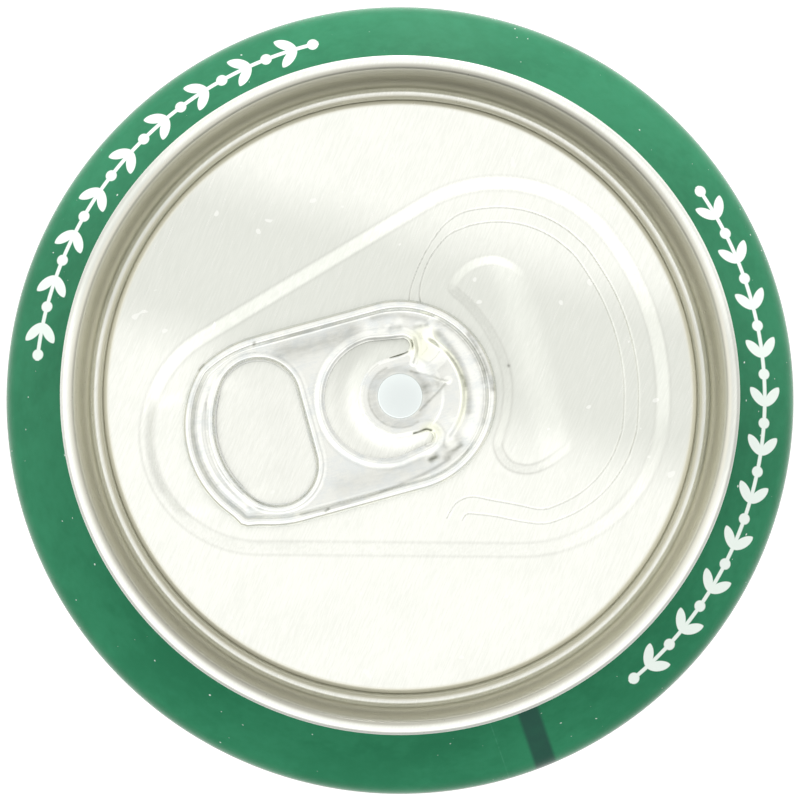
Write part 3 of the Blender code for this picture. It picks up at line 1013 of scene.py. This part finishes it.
def tabOutline(shape):
    nose = arc((0, 0), noseRadius, -90, 90, 2)
    centreY = noseRadius - shape["cornerRadius"]
    reach = (shape["cornerStart"] - shape["cornerEnd"]) / shape["cornerRadius"]
    sweep = math.degrees(math.asin(reach))
    start = shape["cornerStart"]
    upper = arc((start, centreY), shape["cornerRadius"], 90, 90 + sweep)
    turn = math.degrees(math.atan2(upper[-1][1], upper[-1][0] - shape["fingerCentre"]))
    finger = arc((shape["fingerCentre"], 0), shape["fingerRadius"], turn, 360 - turn, 3)
    lower = arc((start, -centreY), shape["cornerRadius"], 270 - sweep, 270)
    line = np.array(nose + upper + finger[1:-1] + lower)
    corner, reach, bulge = shape["bentCorner"]
    away = line - (shape["fingerCentre"], 0)
    away /= np.linalg.norm(away, axis=1)[:, None]
    line += away * (bulge * hump(np.linalg.norm(line - corner, axis=1), 0, reach))[:, None]
    return closed([tuple(point) for point in line])


def fingerHole(shape):
    cornerX = shape["holeRight"] - shape["holeCorner"]
    reach = shape["holeRadius"] - shape["holeCorner"]
    turn = math.acos((cornerX - shape["holeCentre"]) / reach)
    cornerY = reach * math.sin(turn)
    degrees = math.degrees(turn)
    return closed(
        arc((cornerX, cornerY), shape["holeCorner"], 0, degrees)
        + arc((shape["holeCentre"], 0), shape["holeRadius"], degrees, 360 - degrees)[1:-1]
        + arc((cornerX, -cornerY), shape["holeCorner"], 360 - degrees, 360)
    )


def slotHole(shape):
    # the C-shaped slot round the island, with its two arms towards the nose
    end, island = shape["slotEnd"], shape["islandRadius"]
    upper, lower = shape["slotArms"]
    return closed(
        arc((end, island + upper), upper, -90, 85, 12)
        + arc(shape["slotCentre"], shape["slotRadius"], 90, 270)
        + arc((end, -island - lower), lower, -85, 90, 12)
        + arc((0, 0), island, 256, 104)
    )


def tabHeight(points, shape, outlines):
    # the pressed form, below the crown of the rolled rim
    x, y = points.T
    far = np.hypot(x, y)
    inRim = depthIn(points, outlines[0])
    fromHole, fromSlot = [-depthIn(points, outline) for outline in outlines[1:3]]
    half = (tabTop - tabBottom) / 2
    web = np.full(len(points), -shape["web"])
    for inwards, width, height in shape["rimBeads"]:
        web += height * hump(inRim, inwards, width) * (1 - swell(x, *shape["fingerEnd"]))
    outwards, width, height = shape["holeBead"]
    web += height * hump(fromHole, outwards, width)
    outwards, width, height = shape["slotBead"]
    web += height * hump(fromSlot, outwards, width) * swell(far, 3.6, 4.2)
    middle, fades, ends = shape["noseSpan"]
    onNose = 1 - swell(abs(np.degrees(np.arctan2(y, x)) - middle), fades, ends)
    web += shape["noseRise"] * onNose * swell(inRim, 0.9, 2.2)
    sunk = ramp(shape["pocketRadius"] - far, 0, 0.4) * onNose * swell(far, 3.3, 3.6)
    web -= (shape["noseRise"] + shape["pocket"] - shape["web"]) * sunk
    island = 1 - swell(far, shape["islandRadius"] - 0.05, shape["islandRadius"] + 0.35)
    web += (-shape["island"] - web) * island
    beak = ramp(depthIn(points, closed(shape["beak"])), 0, 0.12, 0.04)
    web -= shape["beakDepth"] * beak * swell(far, 2.7, 3.2)
    for ridge, (width, height) in [("facet", shape["facetRise"]), ("armRidge", shape["armRise"])]:
        web += height * crease(points, shape[ridge], width)
    for (foldX, foldY), size, height in shape["folds"]:
        web += height * hump(np.hypot(x - foldX, y - foldY), 0, size)
    edge = -half * (1 - quarterRound(inRim, half))
    crown = 1 - swell(inRim, half, 2 * half - 0.05)
    drop, more = shape["edgeDrop"]
    rolled = swell(np.minimum(fromHole, fromSlot), -0.12, 0.34)
    return web * (1 - crown) + edge - (drop + more * swell(far, 3.3, 4.2)) * (1 - rolled)


tabMarks = {  # painted shade and shadow along folds, facets, slits and edges, with some grime: each a line, its width and how dark it is
    "headLine": (arc((0, 0), 2.62, 100, 290, 15), 0.09, 0.30),
    "headShade": (arc((0, 0), 2.2, -180, 170, 15), 0.30, 0.22),
    "islandEdge": (arc((0, 0), 3.2, 110, 250, 15), 0.09, 0.20),
    "fingerGroove": ([(-15.96, 5.05), (-16.69, 3.73), (-17.39, 1.64), (-17.43, -0.37), (-17.03, -2.13),
                      (-16.63, -3.0)], 0.30, 0.15),
    "fingerWash": ([(-15.6, 5.3), (-16.6, 3.2), (-17.2, 0.6), (-16.9, -2.1), (-15.8, -4.4), (-14.0, -6.3)],
                   0.75, 0.11),
    "fingerLine": ([(-15.69, 3.71), (-16.27, 1.34), (-16.32, -0.93), (-15.63, -3.02), (-14.74, -4.4)],
                   0.09, 0.22),
    # painted shadow in the slits between the tongue and the web
    "upperSlit": ([(0.1, 3.36), (0.89, 3.34), (1.54, 3.42)], 0.10, 1.1),
    "lowerSlit": ([(0.3, -3.29), (0.74, -3.27), (1.36, -3.22), (1.75, -3.42)], 0.10, 1.0),
    "upperArmShade": ([(-3.1, 5.05), (-1.8, 5.36), (-0.4, 5.13), (0.9, 4.85)], 0.20, 0.20),
    "armEdge": ([(-0.79, 4.99), (0.06, 4.89), (0.91, 4.79), (1.43, 4.74), (1.67, 4.32), (1.72, 3.87)],
                0.12, 0.22),
    "lowerArmEnd": ([(0.89, -3.66), (0.99, -4.57), (1.66, -4.4), (2.02, -3.71)], 0.09, 0.22),
    "armRidge": (tabShape["armRidge"], 0.09, 0.35),
    "beakUpper": ([(1.4, 1.75), (2.71, 1.04), (3.6, 0.44), (4.07, 0.23)], 0.09, 0.36),
    "beakLower": ([(3.92, 0.0), (3.17, -0.49), (2.33, -0.97), (1.29, -1.57)], 0.09, 0.40),
    "beakInside": ([(1.9, 0.2), (3.3, 0.1)], 0.65, 0.27),
    "greyFacet": ([(3.2, 1.5), (3.9, 1.6)], 0.50, 0.16),
    "crescent": ([(4.4, 4.2), (4.95, 3.1), (5.35, 1.9), (5.55, 0.3), (5.5, -1.2), (5.15, -2.7)],
                 0.34, 0.36),
    "crescentEdge": ([(4.75, 2.5), (5.22, 1.23), (5.48, -0.05), (5.42, -0.9)], 0.13, 0.28),
    "noseMottle": ([(4.88, 5.12), (5.94, 3.86), (6.63, 2.52), (7.0, 1.28), (7.22, 0.16), (7.08, -0.68)],
                   0.28, 0.34),
    "noseWedge": ([(6.8, 3.5), (7.2, 2.2), (7.45, 1.0), (7.6, -0.4), (7.6, -1.5)], 0.20, 0.42),
    "noseBlue": ([(7.1, -1.4), (6.75, -2.36), (6.1, -3.94)], 0.30, 0.22),
    "lowerPatch": ([(2.6, -5.2), (3.7, -4.9)], 0.60, 0.30),
    "lowerStreak": ([(2.28, -5.98), (2.99, -5.64), (3.8, -5.25)], 0.22, 0.42),
    "spot": ([(1.1, -5.8), (1.5, -5.68)], 0.30, 0.70),
    "upperStreak": ([(-0.5, 6.87), (1.17, 6.7), (2.2, 6.29), (3.73, 5.43)], 0.26, 0.26),
    "upperBlue": ([(0.72, 5.68), (1.47, 5.52)], 0.22, 0.30),
    "upperLilac": ([(2.71, 5.23), (3.73, 5.12)], 0.16, 0.36),
    "upperWeb": ([(-8.5, 6.1), (-5.0, 6.0), (-2.5, 6.3)], 0.85, 0.30),
    "lowerWeb": ([(-6.5, -6.0), (-3.0, -6.0), (0.0, -5.6)], 0.95, 0.14),
    "lowerRim": ([(-10.5, -7.3), (-8.38, -7.45), (-5.0, -7.4), (-2.0, -7.1), (0.8, -6.65), (2.6, -6.1)],
                 0.14, 0.34),
    "upperRim": ([(-10.67, 7.27), (-8.04, 7.38), (-5.55, 7.36), (-3.08, 7.23)], 0.10, 0.12),
    # dark spots where the rim kinks
    "lowerKinkSpot": ([(-8.5, -7.62), (-8.2, -7.5)], 0.11, 0.50),
    "upperKinkSpot": ([(-10.6, 7.35), (-10.5, 7.45)], 0.12, 0.60),
    "cornerKinkSpot": ([(-15.1, 6.85), (-15.5, 6.5)], 0.12, 0.45),
}


def tabStainsAndShade(points, outlines):
    # some grime, painted shade along the fold lines and facets, and a painted shadow line round each edge
    total = np.zeros(len(points))
    fromHoles = np.min([gapTo(points, line) for line in outlines[1:3]], axis=0)
    for gap, lines in [(depthIn(points, outlines[0]), "rimShadeLines"), (fromHoles, "holeShadeLines")]:
        for middle, width, dark in tabShape[lines]:
            total += dark * hump(gap, middle, width)
    for line, width, dark in tabMarks.values():
        total += dark * stroke(points, line, width)
    return np.clip(total, 0, 1)


def makeTab(shape):
    outlines = [
        tabOutline(shape),
        fingerHole(shape),
        slotHole(shape),
        closed(arc((0, 0), shape["rivetHole"], 0, 356, 4)),
    ]
    low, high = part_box("tab")
    cells = [math.ceil((high[a] - low[a]) / mm / shape["cell"]) + 2 for a in (0, 1)]
    size = [count * shape["cell"] for count in cells]
    bpy.ops.object.select_all(action="DESELECT")
    bpy.ops.mesh.primitive_grid_add(
        x_subdivisions=cells[0],
        y_subdivisions=cells[1],
        size=mm,
        location=((low.x + high.x) / 2, (low.y + high.y) / 2, tabTop * mm),
    )
    tab = bpy.context.object
    tab.name = tab.data.name = "canTab"
    tab.scale = (size[0], size[1], 1)
    bpy.ops.object.transform_apply(location=True, scale=True)
    middles = faceMiddles(tab)[:, :2]
    gaps = np.min([gapTo(middles, line) for line in outlines], axis=0)
    finer(tab, gaps < shape["finerWithin"])
    stampOut(tab, shape, outlines)
    points = places(tab)
    points[:, 2] = tabTop + tabHeight(points[:, :2], shape, outlines)
    setPlaces(tab, points)
    closeUnder(tab, shape, outlines)
    keepMarks(tab, tabStainsAndShade(places(tab)[:, :2], outlines))
    return tab


def stampOut(tab, shape, outlines):
    # removes what lies outside the tab and inside its holes, and trims the edges to the lines
    middles = faceMiddles(tab)[:, :2]
    waste = depthIn(middles, outlines[0]) < shape["trim"]
    for hole in outlines[1:]:
        waste |= depthIn(middles, hole) > -shape["trim"]
    pickFaces(tab, waste)
    bpy.ops.mesh.delete(type="FACE")
    doneEditing()
    points = places(tab)
    edge = openVerts(tab)
    found = [nearestOn(points[edge, :2], line) for line in outlines]
    nearest = np.argmin([gap for gap, foot in found], axis=0)
    feet = np.array([foot for gap, foot in found])
    points[edge, :2] = feet[nearest, np.arange(len(nearest))]
    setPlaces(tab, points)
    editing(tab, "VERT")
    bpy.ops.mesh.select_all(action="SELECT")
    bpy.ops.mesh.remove_doubles(threshold=0.004 * mm)
    doneEditing()


def closeUnder(tab, shape, outlines):
    # carries every edge down and in under the rolled rim, and fills the flat underside
    half = (tabTop - tabBottom) / 2
    turns = np.linspace(0, math.pi / 2, shape["underSteps"] + 1)
    for before, turn in zip(turns, turns[1:]):
        pickOpen(tab)
        bpy.ops.mesh.extrude_region_move(TRANSFORM_OT_translate={"value": (0, 0, -0.1 * mm)})
        doneEditing()
        points = places(tab)
        edge = openVerts(tab)
        points[edge, 2] = tabBottom + half * (1 - math.sin(turn))
        spots = points[edge, :2]
        holeGap = np.min([gapTo(spots, line) for line in outlines[1:]], axis=0)
        onRim = gapTo(spots, outlines[0]) < holeGap
        side = np.clip(spots[:, 0], shape["fingerCentre"], 0)
        toward = np.stack([side, np.zeros(len(side))], axis=1) - spots
        toward /= np.linalg.norm(toward, axis=1)[:, None]
        inward = shape["underReach"] * half * (math.cos(before) - math.cos(turn))
        spots[onRim] += toward[onRim] * inward
        points[edge, :2] = spots
        setPlaces(tab, points)
    pickOpen(tab)
    bpy.ops.mesh.fill(use_beauty=True)
    doneEditing()


tabMetal = {
    "colour": colour(0.88, 0.885, 0.85),
    "darkerTone": colour(0.70, 0.735, 0.755),
    # dark colour of the marks: grime, and painted shade and shadow
    "stainAndShade": colour(0.115, 0.12, 0.085),
    "highlightCream": colour(0.885, 0.895, 0.74),
    "highlightSpots": [((3.0, 3.7), 1.9), ((1.7, -3.6), 1.2)],  # painted highlight tint on the folded facets: middle and radius
    "highlightArc": (5.35, 0.25),  # painted highlight tint along the crescent: its radius, and half its width
    "highlightShare": 0.8,
    "smudgeScale": 0.8,  # features for each millimetre, as in the next two
    "fineScale": 6.0,
    "mottleScale": 2.4,
    "roughness": 0.16,
    "bump": 0.005,
}


def makeTabMetal(look):
    paint = Finish("tabAluminium", {"Metallic": 1.0})
    smudge = paint.noise(look["smudgeScale"], 4.0)
    fine = paint.noise(look["fineScale"], 3.0, (5, 1, 1))
    mottle = paint.noise(look["mottleScale"], 2.0, (2.5, 1, 1))
    dirt = paint.step(smudge * 0.7 + fine * 0.3, 0.42, 0.66)
    metal = paint.mix(dirt * 0.6, look["colour"], look["darkerTone"])
    # painted highlight: a cream tint where the nose's facets and crescent catch the light
    highlightCream = paint.band(paint.radius, *look["highlightArc"], 0.2) * paint.step(paint.x, 3.4, 4.4)
    for (spotX, spotY), reach in look["highlightSpots"]:
        away = ((paint.x - spotX) ** 2.0 + (paint.y - spotY) ** 2.0) ** 0.5
        highlightCream = highlightCream | paint.step(away, reach, 0.4 * reach)
    metal = paint.mix(highlightCream * look["highlightShare"], metal, look["highlightCream"])
    # grime and painted shade from the marks, mottled
    stainedAndShaded = paint.marks() * (0.80 + 0.4 * paint.step(mottle, 0.30, 0.70))
    metal = paint.mix(stainedAndShaded, metal, look["stainAndShade"])
    paint.feed("Base Color", metal)
    paint.feed("Roughness", look["roughness"] + dirt * 0.10 + (fine - 0.5) * 0.10)
    paint.bump(fine, look["bump"], 0.4)
    return paint.material


canTab = makeTab(tabShape)
finished(canTab, makeTabMetal(tabMetal), "tab", 50)
print("tab done")


# Floor, light and camera

setting = {
    "floorSize": 6000,
    "floor": colour(0.93, 0.93, 0.92),
    "floorGlow": 0.45,
    "glowReach": (56, 180),  # where the glow under the can begins to fade, and ends
    "floorShade": (-300, 250),  # from the shaded side of the floor to the lit one
    "shadedFloor": colour(0.42, 0.42, 0.42),
    # degrees from overhead and brightness, from the horizon up
    "litSky": [(90, 0.95), (75, 1.0), (55, 1.0), (30, 1.0), (12, 1.15), (8, 1.0), (0, 1.0)],
    "shadedSky": [(90, 0.5), (75, 0.7), (55, 1.55), (32, 1.6), (12, 1.2), (8, 1.0), (0, 1.0)],
    "skySides": (1.09, 0.91),  # how bright the sky is towards the photo's left and right
    "skyBlue": 0.975,  # its blue, as a share of its red and green
    "aim": 13.3,  # below the rim
    "distance": 883.3,
    "tilt": 1.95,
    "lens": 472.8,
    "sensor": 36,
    "lampPlace": (100, 900, 60),  # towards the photo's right and top, and height
    "lampSize": 160,
    "lampPower": 5.0,
}


def makeFloor():
    bpy.ops.object.select_all(action="DESELECT")
    bpy.ops.mesh.primitive_plane_add(size=setting["floorSize"] * mm, location=(0, 0, 0))
    floor = bpy.context.object
    floor.name = "floor"
    paint = Finish("paleFloor", {"Roughness": 0.9, "Emission Strength": setting["floorGlow"]})
    lit = paint.step(paint.toward(photoAxes()[1]), *setting["floorShade"])
    paint.feed("Base Color", paint.mix(lit, setting["shadedFloor"], setting["floor"]))
    near, far = setting["glowReach"]
    glow = paint.step(paint.radius, far, near)
    paint.feed("Emission Color", paint.mix(glow, colour(0, 0, 0), colour(1, 1, 1)))
    floor.data.materials.append(paint.material)


def addLamp():
    # low down beyond the photo's top, turned to the rim
    right, up = photoAxes()
    across, along, height = setting["lampPlace"]
    light = bpy.data.lights.new("lowLamp", "AREA")
    light.shape = "DISK"
    light.size = setting["lampSize"] * mm
    light.energy = setting["lampPower"]
    lamp = bpy.data.objects.new("lowLamp", light)
    lamp.location = (right * across + up * along + Vector((0, 0, height))) * mm
    toRim = Vector((0, 0, rim * mm)) - lamp.location
    lamp.rotation_euler = toRim.to_track_quat("-Z", "Y").to_euler()
    lamp.visible_camera = False
    bpy.context.scene.collection.objects.link(lamp)


def addCamera():
    right, up = photoAxes()
    tilt = math.radians(setting["tilt"])
    back = Vector((0, 0, math.cos(tilt))) - up * math.sin(tilt)
    aim = Vector((0, 0, (rim - setting["aim"]) * mm))
    lens = bpy.data.cameras.new("camera")
    lens.lens = setting["lens"]
    lens.sensor_width = setting["sensor"]
    lens.clip_end = 20
    camera = bpy.data.objects.new("camera", lens)
    camera.location = aim + back * setting["distance"] * mm
    camera.rotation_euler = Matrix((right, back.cross(right), back)).transposed().to_euler()
    bpy.context.scene.collection.objects.link(camera)
    bpy.context.scene.camera = camera


def addSurround():
    # a pale sky, dimmer overhead and near the horizon, and dimmest low down at the photo's bottom
    world = bpy.data.worlds.new("surround")
    world.use_nodes = True
    sky = Nodes(world.node_tree)
    toward = sky.node("ShaderNodeTexCoord", {}, {}, "Generated")
    height = sky.node("ShaderNodeSeparateXYZ", {}, {"Vector": toward}, "Z")
    right, up = photoAxes()
    leaning = []
    for axis, low, high in [(up, 0.0, 1.0), (right, *setting["skySides"])]:
        dot = sky.node("ShaderNodeVectorMath", {"operation": "DOT_PRODUCT"}, {0: toward, 1: axis}, "Value")
        sockets = {"Value": dot, "From Min": -1.0, "To Min": low, "To Max": high}
        leaning.append(sky.node("ShaderNodeMapRange", {}, sockets))
    halves = []
    for side in ("shadedSky", "litSky"):
        stops = [
            (math.cos(math.radians(angle)), colour(value, value, value * setting["skyBlue"]))
            for angle, value in setting[side]
        ]
        halves.append(sky.node("ShaderNodeValToRGB", {"stops": stops}, {"Fac": height}, "Color"))
    background = world.node_tree.nodes["Background"]
    plug(background.inputs["Color"], sky.mix(leaning[0], *halves))
    plug(background.inputs["Strength"], leaning[1])
    bpy.context.scene.world = world
    bpy.context.scene.view_settings.view_transform = "Standard"


makeFloor()
addLamp()
addCamera()
addSurround()
print("floor, light and camera done")
